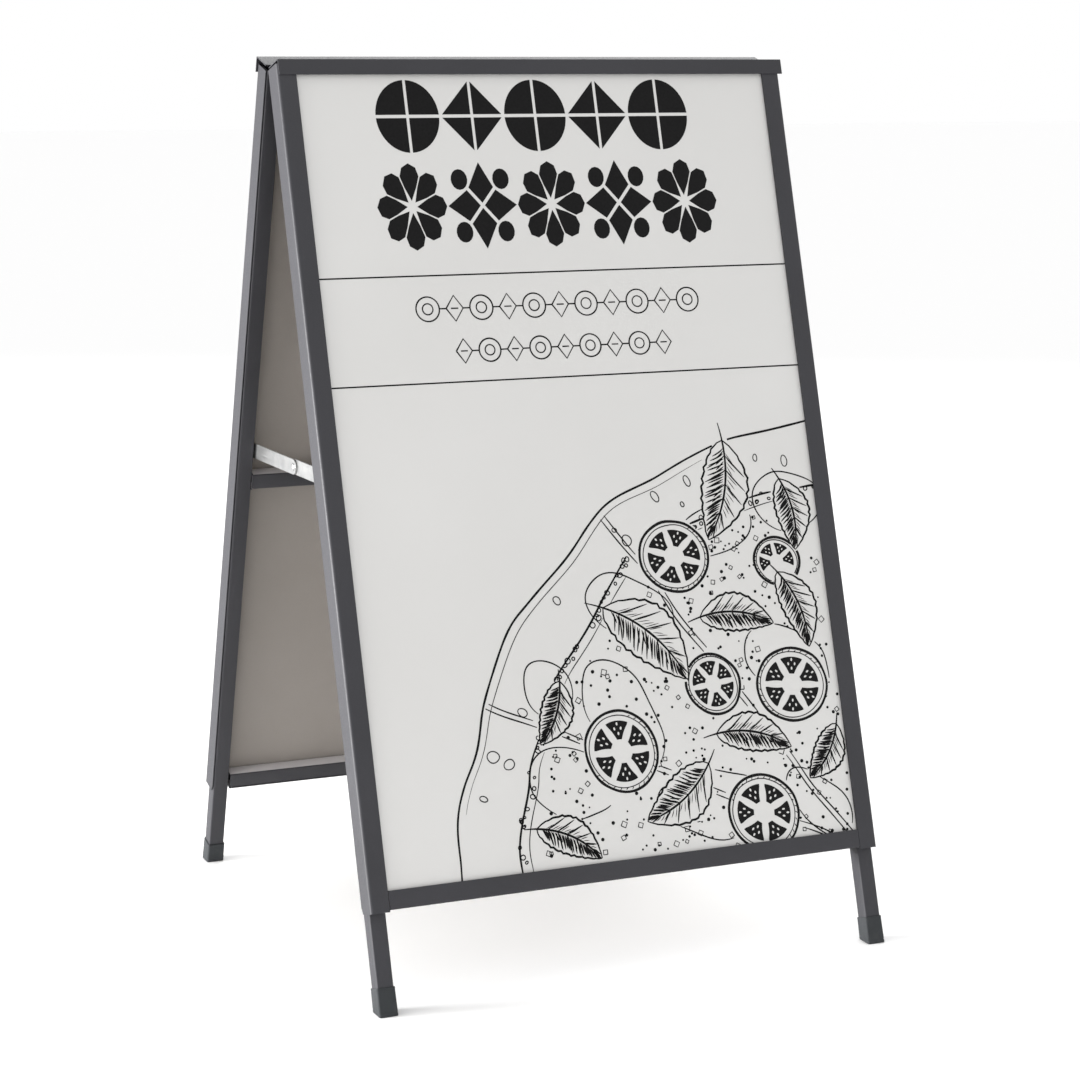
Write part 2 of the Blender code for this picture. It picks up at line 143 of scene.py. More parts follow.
def powder_coat(name, colour, seed, dust_and_top_highlight=0.0):
    mat, tree, shader, at = nodes_of(name)
    m = tree.nodes.new("ShaderNodeMapping")
    m.inputs["Location"].default_value = (seed * 1.7, seed * 0.9, seed * 2.3)
    tree.links.new(at, m.inputs["Vector"])
    at = m.outputs["Vector"]
    broad = add_noise(tree, at, 7.0, 3.0)
    fine = add_noise(tree, at, 520.0, 2.0)
    fleck = add_noise(tree, at, 1500.0, 1.0)
    dark = tuple(c * 0.90 for c in colour)
    light = tuple(c * 1.10 for c in colour)
    base = add_mix(tree, add_range(tree, broad, 0.3, 0.7, 0.0, 1.0), dark, light)
    speck = add_range(tree, fleck, 0.66, 0.74, 0.0, 0.35)
    base = add_mix(tree, speck, base, tuple(min(1.0, c * 1.7) for c in colour))
    scuff = add_noise(tree, at, 60.0, 6.0, 0.7, (1.0, 1.0, 0.08))
    base = add_mix(tree, add_range(tree, scuff, 0.70, 0.80, 0.0, 0.30), base, tuple(min(1.0, c * 2.2) for c in colour))
    # Painted highlight: faces pointing up are lightened towards pale grey (0.66, 0.64, 0.65), standing in for light
    # falling on the top faces, not for dust.
    if dust_and_top_highlight:
        facing = tree.nodes.new("ShaderNodeTexCoord").outputs["Normal"]
        split = tree.nodes.new("ShaderNodeSeparateXYZ")
        tree.links.new(facing, split.inputs["Vector"])
        painted_top_highlight = add_range(tree, split.outputs["Z"], 0.80, 0.93, 0.0, dust_and_top_highlight)
        base = add_mix(tree, painted_top_highlight, base, (0.66, 0.64, 0.65))
    tree.links.new(base, shader.inputs["Base Color"])
    tree.links.new(add_range(tree, fine, 0.25, 0.75, 0.47, 0.59), shader.inputs["Roughness"])
    shader.inputs["Specular IOR Level"].default_value = 0.42
    first = add_bump(tree, shader, fine, 0.10, 0.0002)
    add_bump(tree, shader, fleck, 0.06, 0.0001, first)
    return mat


def printed_board():
    mat, tree, shader, at = nodes_of("printed_sheet_white")
    broad = add_noise(tree, at, 3.5, 2.0)
    paper = add_noise(tree, at, 900.0, 3.0)
    base = add_mix(tree, add_range(tree, broad, 0.3, 0.7, 0.0, 1.0), (0.630, 0.624, 0.611), (0.655, 0.650, 0.638))
    tree.links.new(base, shader.inputs["Base Color"])
    tree.links.new(add_range(tree, paper, 0.2, 0.8, 0.30, 0.38), shader.inputs["Roughness"])
    shader.inputs["Specular IOR Level"].default_value = 0.35
    wave = add_noise(tree, at, 2.2, 1.0)
    first = add_bump(tree, shader, wave, 0.12, 0.002)
    add_bump(tree, shader, paper, 0.04, 0.0001, first)
    return mat


def backing_sheet():
    mat, tree, shader, at = nodes_of("backing_sheet_stone")
    broad = add_noise(tree, at, 5.0, 3.0)
    grain = add_noise(tree, at, 700.0, 3.0)
    base = add_mix(tree, add_range(tree, broad, 0.3, 0.7, 0.0, 1.0), (0.262, 0.240, 0.219), (0.292, 0.268, 0.247))
    base = add_mix(tree, add_range(tree, grain, 0.62, 0.78, 0.0, 0.25), base, (0.16, 0.148, 0.135))
    tree.links.new(base, shader.inputs["Base Color"])
    tree.links.new(add_range(tree, grain, 0.2, 0.8, 0.62, 0.78), shader.inputs["Roughness"])
    shader.inputs["Specular IOR Level"].default_value = 0.3
    add_bump(tree, shader, grain, 0.12, 0.0001)
    return mat


def printing_ink():
    mat, tree, shader, at = nodes_of("printing_ink_black")
    fine = add_noise(tree, at, 400.0, 3.0)
    base = add_mix(tree, add_range(tree, fine, 0.3, 0.7, 0.0, 1.0), (0.0045, 0.0043, 0.0045), (0.0085, 0.0082, 0.0086))
    tree.links.new(base, shader.inputs["Base Color"])
    tree.links.new(add_range(tree, fine, 0.2, 0.8, 0.50, 0.62), shader.inputs["Roughness"])
    shader.inputs["Specular IOR Level"].default_value = 0.12
    return mat


def zinc_plate(name="zinc_bright", low=(0.355, 0.359, 0.363), high=(0.485, 0.485, 0.480)):
    mat, tree, shader, at = nodes_of(name)
    spangle = tree.nodes.new("ShaderNodeTexVoronoi")
    spangle.inputs["Scale"].default_value = 190.0
    tree.links.new(at, spangle.inputs["Vector"])
    cloud = add_noise(tree, at, 38.0, 5.0, 0.6)
    drawn = add_noise(tree, at, 300.0, 3.0, 0.6, (1.0, 0.05, 1.0))
    base = add_mix(tree, add_range(tree, cloud, 0.32, 0.68, 0.0, 1.0), low, high)
    split = tree.nodes.new("ShaderNodeSeparateColor")
    tree.links.new(spangle.outputs["Color"], split.inputs["Color"])
    base = add_mix(tree, add_range(tree, split.outputs["Red"], 0.0, 1.0, 0.0, 0.18), base, (0.62, 0.62, 0.61))
    tree.links.new(base, shader.inputs["Base Color"])
    shader.inputs["Metallic"].default_value = 1.0
    tree.links.new(add_range(tree, drawn, 0.25, 0.75, 0.32, 0.46), shader.inputs["Roughness"])
    add_bump(tree, shader, drawn, 0.08, 0.0001)
    return mat


def foot_rubber():
    mat, tree, shader, at = nodes_of("foot_rubber_black")
    grain = add_noise(tree, at, 1100.0, 2.0)
    dust_and_top_highlight = add_noise(tree, at, 45.0, 6.0, 0.65)
    base = add_mix(tree, add_range(tree, dust_and_top_highlight, 0.50, 0.72, 0.0, 0.5), (0.026, 0.029, 0.032), (0.056, 0.059, 0.062))
    tree.links.new(base, shader.inputs["Base Color"])
    tree.links.new(add_range(tree, grain, 0.2, 0.8, 0.58, 0.76), shader.inputs["Roughness"])
    shader.inputs["Specular IOR Level"].default_value = 0.35
    add_bump(tree, shader, grain, 0.25, 0.0001)
    return mat


def nylon():
    mat, tree, shader, at = nodes_of("spacer_nylon_dark")
    grain = add_noise(tree, at, 800.0, 2.0)
    base = add_mix(tree, add_range(tree, grain, 0.3, 0.7, 0.0, 1.0), (0.030, 0.030, 0.033), (0.045, 0.045, 0.048))
    tree.links.new(base, shader.inputs["Base Color"])
    tree.links.new(add_range(tree, grain, 0.2, 0.8, 0.45, 0.6), shader.inputs["Roughness"])
    return mat


PAINT = (0.0300, 0.0297, 0.0350)
MAT = {
    "paint_leg": powder_coat("frame_paint_legs", PAINT, 1),
    "paint_channel": powder_coat("frame_paint_channels", PAINT, 2),
    "paint_cap": powder_coat("frame_paint_cap", PAINT, 3),
    # the bar paint carries the painted top highlight (strength 0.85) on its upward faces
    "paint_bar": powder_coat("frame_paint_bars", PAINT, 4, 0.85),
    "board": printed_board(),
    "backing": backing_sheet(),
    "ink": printing_ink(),
    "zinc": zinc_plate(),
    "rubber": foot_rubber(),
    "nylon": nylon(),
}


# ------------------------------------------------------------- mesh helpers
def finish_piece(name, bm, matrix, finish, body, stands_for=(), bevel=0.0, segments=2, angle=35, smooth=True):
    bmesh.ops.remove_doubles(bm, verts=bm.verts, dist=1e-7)
    bmesh.ops.recalc_face_normals(bm, faces=bm.faces)
    mesh = bpy.data.meshes.new(name)
    bm.to_mesh(mesh)
    bm.free()
    mesh.transform(matrix)
    obj = bpy.data.objects.new(name, mesh)
    bpy.context.scene.collection.objects.link(obj)
    mesh.materials.append(MAT[finish])
    if smooth:
        mesh.shade_smooth()
        mesh.set_sharp_from_angle(angle=math.radians(angle))
    if bevel:
        change = obj.modifiers.new("edges", "BEVEL")
        change.width = bevel
        change.segments = segments
        change.limit_method = "ANGLE"
        change.angle_limit = math.radians(40)
        change.harden_normals = True
        change.miter_outer = "MITER_ARC" if segments > 1 else "MITER_SHARP"
    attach(obj, body)
    if stands_for:
        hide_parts(*stands_for)
    return obj


def carve(obj, hole):
    """Cut a closed mesh out of a piece and keep the result as its mesh."""
    bmesh.ops.recalc_face_normals(hole, faces=hole.faces)
    mesh = bpy.data.meshes.new("cutter")
    hole.to_mesh(mesh)
    hole.free()
    cutter = bpy.data.objects.new("cutter", mesh)
    bpy.context.scene.collection.objects.link(cutter)
    change = obj.modifiers.new("hole", "BOOLEAN")
    change.operation = "DIFFERENCE"
    change.solver = "EXACT"
    change.object = cutter
    bpy.context.view_layer.update()
    graph = bpy.context.evaluated_depsgraph_get()
    result = bpy.data.meshes.new_from_object(obj.evaluated_get(graph))
    obj.modifiers.clear()
    old = obj.data
    obj.data = result
    result.name = obj.name
    bpy.data.meshes.remove(old)
    bpy.data.objects.remove(cutter, do_unlink=True)


def soft_edges(obj, width):
    change = obj.modifiers.new("edges", "BEVEL")
    change.width = width
    change.segments = 2
    change.limit_method = "ANGLE"
    change.angle_limit = math.radians(40)
    change.harden_normals = True


def at(x, w, v):
    """Leaf coordinates: across, depth outward, distance down the leaf."""
    return Vector((x, -w, -v))


def loft(bm, rings, close_ends=True, chain=False):
    loops = [[bm.verts.new(p) for p in ring] for ring in rings]
    pairs = list(zip(loops, loops[1:]))
    if chain:
        pairs.append((loops[-1], loops[0]))
    for a, b in pairs:
        for i in range(len(a)):
            j = (i + 1) % len(a)
            bm.faces.new((a[i], a[j], b[j], b[i]))
    if close_ends and not chain:
        bm.faces.new(loops[0])
        bm.faces.new(list(reversed(loops[-1])))
    return loops


def rounded(a, b, radius, steps=3):
    """Points round the rectangle a[0]..a[1] by b[0]..b[1] with round corners."""
    out = []
    for ca, cb, start in ((a[1] - radius, b[1] - radius, 0), (a[0] + radius, b[1] - radius, 1), (a[0] + radius, b[0] + radius, 2), (a[1] - radius, b[0] + radius, 3)):
        for i in range(steps + 1):
            t = math.pi / 2 * (start + i / steps)
            out.append((ca + radius * math.cos(t), cb + radius * math.sin(t)))
    return out


def level(height, y):
    """Leaf Z of the plane at this world height, at leaf depth y."""
    return (height - HINGE_Z + y * math.sin(TILT)) / math.cos(TILT)


def turned(bm, profile, count, place):
    """A solid of revolution: profile is (along, radius), place maps
    (along, a, b) to a point."""
    rings = []
    for s, r in profile:
        rings.append([place(s, r * math.cos(2 * math.pi * i / count), r * math.sin(2 * math.pi * i / count)) for i in range(count)])
    loft(bm, rings)


# ------------------------------------------------------------------ leg tube
def make_leg(prefix, label, side):
    xs = sorted((side * LEG_OUT, side * LEG_IN))
    ws = (INNER_FACE, TUBE_FRONT)
    outer = rounded(xs, ws, 0.0017, 4)
    inner = rounded((xs[0] + TUBE_WALL, xs[1] - TUBE_WALL), (ws[0] + TUBE_WALL, ws[1] - TUBE_WALL), 0.0006, 4)
    cut = 0.0036

    def low(ring):
        return [Vector((x, -w, level(cut, -w))) for x, w in ring]

    def high(ring, v):
        return [at(x, w, v) for x, w in ring]

    stops = [0.9, 0.7, 0.5, 0.3, 0.1, LEG_TOP + 0.0004]
    rings = [low(outer)] + [high(outer, v) for v in stops]
    rings.append(high(rounded((xs[0] + 0.0003, xs[1] - 0.0003), (ws[0] + 0.0003, ws[1] - 0.0003), 0.0014, 4), LEG_TOP))
    rings.append(high(inner, LEG_TOP))
    rings += [high(inner, v) for v in reversed(stops[:-1])] + [low(inner)]
    bm = bmesh.new()
    loft(bm, rings, chain=True)
    finish_piece(f"{prefix}_leg_{label}_tube", bm, LEAF[prefix], "paint_leg", f"{prefix}_leaf", [f"{prefix}_leg_{label}"], angle=50)


def make_crossbar(prefix, name, v, half):
    vs, ws = v, (INNER_FACE, TUBE_FRONT)
    outer = rounded(ws, vs, 0.0017, 4)
    inner = rounded((ws[0] + TUBE_WALL, ws[1] - TUBE_WALL), (vs[0] + TUBE_WALL, vs[1] - TUBE_WALL), 0.0006, 4)
    bm = bmesh.new()
    stops = [-half, -half * 0.5, 0, half * 0.5, half]
    rings = [[at(x, w, q) for w, q in outer] for x in stops] + [[at(x, w, q) for w, q in inner] for x in reversed(stops)]
    loft(bm, rings, chain=True)
    finish_piece(f"{prefix}_{name}_tube", bm, LEAF[prefix], "paint_bar", f"{prefix}_leaf", [f"{prefix}_{name}"], angle=50)


def make_weld(prefix, name, v, side, seed):
    """Fillet weld bead round the end of a crossbar, painted over."""
    rng = random.Random(seed)
    path = rounded((INNER_FACE, TUBE_FRONT), v, 0.0017, 4)
    ring_count, dense = 10, []
    for i, p in enumerate(path):
        q = path[(i + 1) % len(path)]
        length = math.dist(p, q)
        parts = max(1, round(length / 0.0011))
        dense += [(p[0] + (q[0] - p[0]) * k / parts, p[1] + (q[1] - p[1]) * k / parts) for k in range(parts)]
    centre = ((INNER_FACE + TUBE_FRONT) / 2, (v[0] + v[1]) / 2)
    rings = []
    total = len(dense)
    for i, (w, q) in enumerate(dense):
        ripple = 0.00105 + 0.00016 * math.sin(i * 2 * math.pi / 2.6) + rng.uniform(-0.00007, 0.00007)
        out = Vector((w - centre[0], q - centre[1])).normalized()
        ring = []
        for k in range(ring_count):
            t = 2 * math.pi * k / ring_count
            d, s = ripple * math.cos(t), ripple * math.sin(t)
            x = side * (LEG_IN - 0.0003) - side * (0.00055 + s * 0.9)
            ring.append(at(x, w + out.x * (d * 0.85 + 0.0001), q + out.y * (d * 0.85 + 0.0001)))
        rings.append(ring)
    bm = bmesh.new()
    loops = [[bm.verts.new(p) for p in ring] for ring in rings]
    for i in range(total):
        a, b = loops[i], loops[(i + 1) % total]
        for k in range(ring_count):
            j = (k + 1) % ring_count
            bm.faces.new((a[k], a[j], b[j], b[k]))
    finish_piece(f"{prefix}_{name}", bm, LEAF[prefix], "paint_leg", f"{prefix}_leaf", angle=80)


# ---------------------------------------------------------------- channels
def make_stile(prefix, label, side):
    r_out, r_in, steps = 0.0037, 0.0027, 7
    cx, cy = HALF - r_out, CHANNEL_FRONT - r_out
    inner = HALF - STILE_FACE
    fold = 0.0006
    edge = CHANNEL_REAR + 0.0016
    outline = [(HALF - SHEET, edge), (HALF - 0.0002, edge), (HALF, edge + 0.0002)]
    outline += [(cx + r_out * math.cos(math.pi / 2 * i / steps), cy + r_out * math.sin(math.pi / 2 * i / steps)) for i in range(steps + 1)]
    outline += [(inner + fold, CHANNEL_FRONT), (inner + fold * 0.3, CHANNEL_FRONT - fold * 0.3), (inner, CHANNEL_FRONT - fold), (inner, CHANNEL_FRONT - LIP), (inner + SHEET, CHANNEL_FRONT - LIP), (inner + SHEET, CHANNEL_FRONT - SHEET)]
    outline += [(HALF - SHEET - (r_in - r_in * math.cos(math.pi / 2 * i / steps)), cy + r_in * math.sin(math.pi / 2 * i / steps)) for i in range(steps, -1, -1)]
    bm = bmesh.new()
    stops = [LEG_TOP, 0.06, 0.25, 0.45, 0.65, 0.85, 0.925, STILE_BOTTOM]
    rings = [[at(side * x, w, v) for x, w in outline] for v in stops]
    loft(bm, rings)
    bmesh.ops.recalc_face_normals(bm, faces=bm.faces)
    # lower rear corner of the wall, trimmed off at a slant
    a, b = at(0, CHANNEL_REAR, STILE_BOTTOM - 0.011), at(0, CHANNEL_REAR + 0.0050, STILE_BOTTOM)
    along = (b - a).normalized()
    normal = Vector((0, -along.z, along.y))
    if normal.y < 0:
        normal = -normal
    cut = bmesh.ops.bisect_plane(bm, geom=bm.verts[:] + bm.edges[:] + bm.faces[:], plane_co=a, plane_no=normal, clear_outer=True)
    bmesh.ops.holes_fill(bm, edges=[e for e in cut["geom_cut"] if isinstance(e, bmesh.types.BMEdge)])
    finish_piece(f"{prefix}_side_channel_{label}_sheet", bm, LEAF[prefix], "paint_channel", f"{prefix}_leaf", [f"{prefix}_side_channel_{label}"], bevel=0.00022, segments=2)


def make_rail(prefix):
    bottom, top, front, r = RAIL_BOTTOM, RAIL_BOTTOM - RAIL_FACE, CHANNEL_FRONT, 0.0018
    outline = [(INNER_FACE, bottom), (front - r, bottom)]
    outline += [(front - r + r * math.sin(math.pi / 2 * i / 5), bottom - r + r * math.cos(math.pi / 2 * i / 5)) for i in range(1, 5)]
    outline += [(front, bottom - r), (front, top + 0.0006), (front - 0.0002, top + 0.0002), (front - 0.0006, top), (front - LIP, top), (front - LIP, top + SHEET), (front - SHEET, top + SHEET), (front - SHEET, bottom - SHEET), (INNER_FACE, bottom - SHEET)]
    half = HALF - STILE_FACE - GAP
    bm = bmesh.new()
    loft(bm, [[at(x, w, v) for w, v in outline] for x in (-half, -half / 2, 0, half / 2, half)])
    finish_piece(f"{prefix}_bottom_channel_sheet", bm, LEAF[prefix], "paint_channel", f"{prefix}_leaf", [f"{prefix}_bottom_channel"], bevel=0.0002, segments=2)


def make_cap(prefix):
    x0, x1 = CAP_X[prefix] if prefix == "front" else (-CAP_X[prefix][1], -CAP_X[prefix][0])
    v0 = CAP_V[prefix]
    r, t = 0.0012, CAP_SHEET
    outline = [(CAP_REAR, v0), (CAP_FRONT - r, v0)]
    outline += [(CAP_FRONT - r + r * math.sin(math.pi / 2 * i / 5), v0 + r - r * math.cos(math.pi / 2 * i / 5)) for i in range(1, 5)]
    outline += [(CAP_FRONT, v0 + r), (CAP_FRONT, v0 + CAP_FLANGE), (CAP_FRONT - t, v0 + CAP_FLANGE), (CAP_FRONT - t, v0 + t + 0.0003), (CAP_FRONT - t - 0.0003, v0 + t), (CAP_REAR, v0 + t)]
    bm = bmesh.new()
    loft(bm, [[at(x, w, v) for w, v in outline] for x in (x0, x0 * 0.98, x0 / 2, 0, x1 / 2, x1 * 0.98, x1)])
    obj = finish_piece(f"{prefix}_top_cap_angle", bm, LEAF[prefix], "paint_cap", f"{prefix}_leaf", [f"{prefix}_top_cap"])
    for sx in (-HINGE_X, HINGE_X):
        hole, reach = bmesh.new(), HINGE_LENGTH / 2 + 0.001
        loft(hole, [[LEAF[prefix] @ at(x, w, v) for w, v in ((-0.002, v0 - 0.002), (CAP_NOTCH, v0 - 0.002), (CAP_NOTCH, v0 + 0.003), (-0.002, v0 + 0.003))] for x in (sx - reach, sx + reach)])
        carve(obj, hole)
    soft_edges(obj, 0.00025)


# ----------------------------------------------------------------- panels
def make_panel(prefix, name, depth, finish, stands):
    bm = bmesh.new()
    nx, nv = 16, 24
    xs = [-BOARD_HALF + 2 * BOARD_HALF * i / nx for i in range(nx + 1)]
    vs = [BOARD_TOP + (BOARD_BOTTOM - BOARD_TOP) * i / nv for i in range(nv + 1)]
    front = [[bm.verts.new(at(x, depth[1], v)) for x in xs] for v in vs]
    back = [[bm.verts.new(at(x, depth[0], v)) for x in xs] for v in vs]
    for grid in (front, back):
        for i in range(nv):
            for j in range(nx):
                bm.faces.new((grid[i][j], grid[i][j + 1], grid[i + 1][j + 1], grid[i + 1][j]))
    rim = [(0, j) for j in range(nx)] + [(i, nx) for i in range(nv)] + [(nv, j) for j in range(nx, 0, -1)] + [(i, 0) for i in range(nv, 0, -1)]
    for k, (i, j) in enumerate(rim):
        p, q = rim[(k + 1) % len(rim)]
        bm.faces.new((front[i][j], front[p][q], back[p][q], back[i][j]))
    finish_piece(f"{prefix}_{name}_sheet", bm, LEAF[prefix], finish, f"{prefix}_leaf", [stands])


# ------------------------------------------------------------------- feet
def make_foot(prefix, label, side):
    middle = side * (LEG_OUT + LEG_IN) / 2
    depth = INNER_FACE + TUBE / 2
    half, hole = FOOT_SIDE / 2, TUBE / 2 + GAP

    def ring(size, radius, where):
        pts = rounded((middle - size, middle + size), (depth - size, depth + size), radius, 5)
        return [where(x, w) for x, w in pts]

    def flat(v):
        return lambda x, w: at(x, w, v)

    def sole(height):
        return lambda x, w: Vector((x, -w, level(height, -w)))

    rings = [
        ring(half - 0.0007, 0.0020, sole(0.0)),
        ring(half - 0.0002, 0.0024, sole(0.0003)),
        ring(half, 0.0026, sole(0.0009)),
        ring(half - 0.00005, 0.0026, sole(0.0030)),
        ring(half - 0.00035, 0.0025, sole(0.0036)),
        ring(half - 0.00005, 0.0026, sole(0.0042)),
        ring(half - 0.0002, 0.0026, flat(FOOT_TOP + 0.0120)),
        ring(half - 0.0003, 0.0026, flat(FOOT_TOP + 0.0026)),
        ring(half - 0.0002, 0.0026, flat(FOOT_TOP + 0.0018)),
        ring(half - 0.0003, 0.0026, flat(FOOT_TOP + 0.0006)),
        ring(half - 0.0008, 0.0022, flat(FOOT_TOP)),
        ring(hole + 0.0003, 0.0019, flat(FOOT_TOP)),
        ring(hole, 0.0017, flat(FOOT_TOP + 0.0004)),
        ring(hole, 0.0017, sole(0.0032)),
    ]
    bm = bmesh.new()
    loft(bm, rings)
    finish_piece(f"{prefix}_foot_{label}_boot", bm, LEAF[prefix], "rubber", f"{prefix}_leaf", [f"{prefix}_foot_{label}"], angle=60)


# --------------------------------------------------------------- fixings
def make_cap_fixing(prefix, label, x):
    v0 = CAP_V[prefix]
    place = lambda s, a, b: at(x + a, SCREW_W + b, v0 - s)
    drive = 28
    bm = bmesh.new()
    # pan head with a cross recess, and the shank through the cap
    profile = [(-0.0120, 0.0012), (-0.0112, 0.0019), (GAP, 0.0019), (GAP, 0.0040), (0.0008, 0.00395), (0.0014, 0.0035), (0.0018, 0.0027), (0.0020, 0.0014)]
    rings = [[place(s, r * math.cos(2 * math.pi * i / drive), r * math.sin(2 * math.pi * i / drive)) for i in range(drive)] for s, r in profile]
    def cross(s, shrink):
        pts = []
        for i in range(drive):
            t = 2 * math.pi * i / drive
            spoke = abs(math.cos(2 * t)) ** 3
            pts.append(place(s, shrink * (0.0005 + 0.0012 * spoke) * math.cos(t), shrink * (0.0005 + 0.0012 * spoke) * math.sin(t)))
        return pts
    rings += [cross(0.0020, 0.98), cross(0.0011, 0.8)]
    rings[7] = [place(0.0020, 0.0022 * math.cos(2 * math.pi * i / drive), 0.0022 * math.sin(2 * math.pi * i / drive)) for i in range(drive)]
    loft(bm, rings)
    finish_piece(f"{prefix}_cap_screw_{label}_pan", bm, LEAF[prefix], "zinc", f"{prefix}_leaf", [f"{prefix}_cap_screw_{label}"], angle=40)
    top, low = v0 + CAP_SHEET + GAP, LEG_TOP - GAP
    bm = bmesh.new()
    count = 28
    rings = []
    for r, v in ((0.0050, low), (0.0050, top + 0.0002), (0.0048, top), (0.0022, top), (0.0022, low)):
        rings.append([at(x + r * math.cos(2 * math.pi * i / count), SCREW_W + r * math.sin(2 * math.pi * i / count), v) for i in range(count)])
    loft(bm, rings, chain=True)
    finish_piece(f"{prefix}_cap_spacer_{label}_ring", bm, LEAF[prefix], "nylon", f"{prefix}_leaf", [f"{prefix}_cap_spacer_{label}"], angle=40)


def tube_x(bm, x0, x1, radius, bore, count=36, chamfer=0.0002):
    rings = []
    for x, r in ((x0 + chamfer, radius), (x1 - chamfer, radius), (x1, radius - chamfer), (x1, bore + 0.0001), (x1 - 0.0001, bore), (x0 + 0.0001, bore), (x0, bore + 0.0001), (x0, radius - chamfer)):
        rings.append([Vector((x, r * math.cos(2 * math.pi * i / count), r * math.sin(2 * math.pi * i / count))) for i in range(count)])
    loft(bm, rings, chain=True)


def make_hinge_leaf(label, which, x, own):
    """Strap of the hinge: plate with rounded corners and countersunk screws,
    knuckles curled round the pin."""
    body = f"{which}_leaf"
    low, high = 0.0012, 0.0024
    half = HINGE_LENGTH / 2
    bm = bmesh.new()
    pts = rounded((x - half, x + half), (0.0034, 0.0225), 0.0025, 5)
    loft(bm, [[at(px, w, v) for px, v in pts] for w in (low, high)])
    for a, b in own:
        tube_x(bm, x + a, x + b, KNUCKLE, 0.0014)
        strip = [(x + a, 0.0016), (x + b, 0.0016), (x + b, 0.0046), (x + a, 0.0046)]
        loft(bm, [[at(px, w, v) for px, v in strip] for w in (0.00125, 0.00235)])
    finish_piece(f"hinge_{label}_{which}_strap", bm, LEAF[which], "zinc", body, [f"hinge_{label}_{which}_leaf"], bevel=0.00012, segments=2)
    bm = bmesh.new()
    for sx in (-0.020, 0.0, 0.020):
        place = lambda s, a, b: at(x + sx + a, low - s, 0.0145 + b)
        turned(bm, [(-0.0010, 0.0016), (0.0, 0.0031), (0.0002, 0.0030), (0.0002, 0.0012), (-0.0004, 0.0009)], 24, place)
    finish_piece(f"hinge_{label}_{which}_screws", bm, LEAF[which], "zinc", body, angle=40)


def make_hinge_pin(label, x):
    bm = bmesh.new()
    place = lambda s, a, b: Vector((x + s, a, b))
    turned(bm, [(-0.0298, 0.0004), (-0.0296, 0.0008), (-0.0290, 0.0011), (0.0290, 0.0011), (0.0296, 0.0008), (0.0298, 0.0004)], 24, place)
    finish_piece(f"hinge_{label}_pin_rod", bm, LEAF["front"], "zinc", "rear_leaf", [f"hinge_{label}_pin"], angle=50)


# ------------------------------------------------------------------- stays
PIVOT_Y = math.sin(TILT) * PIVOT_V + math.cos(TILT) * PIVOT_W
PIVOT_Z = HINGE_Z - math.cos(TILT) * PIVOT_V + math.sin(TILT) * PIVOT_W


def make_stay_bar(label, which, x, direction):
    radius, steps = BAR_WIDTH / 2, 20
    outline = []
    for i in range(steps + 1):
        t = math.pi / 2 + math.pi * i / steps
        outline.append((radius * math.cos(t), radius * math.sin(t)))
    for i in range(steps + 1):
        t = -math.pi / 2 + math.pi * i / steps
        outline.append((PIVOT_Y + radius * math.cos(t), radius * math.sin(t)))
    origin_y = PIVOT_Y if which == "rear" else -PIVOT_Y
    bm = bmesh.new()
    loft(bm, [[Vector((px, origin_y + direction * y, PIVOT_Z + z)) for y, z in outline] for px in x])
    obj = finish_piece(f"stay_{label}_{which}_strip", bm, Matrix.Identity(4), "zinc", f"stay_{label}_{which}", [f"stay_{label}_{which}_bar"])
    for y in (0.0, direction * PIVOT_Y):
        hole = bmesh.new()
        turned(hole, [(x[0] - 0.001, 0.0026), (x[1] + 0.001, 0.0026)], 32, lambda s, a, b: Vector((s, origin_y + y + a, PIVOT_Z + b)))
        carve(obj, hole)
    soft_edges(obj, 0.00025)


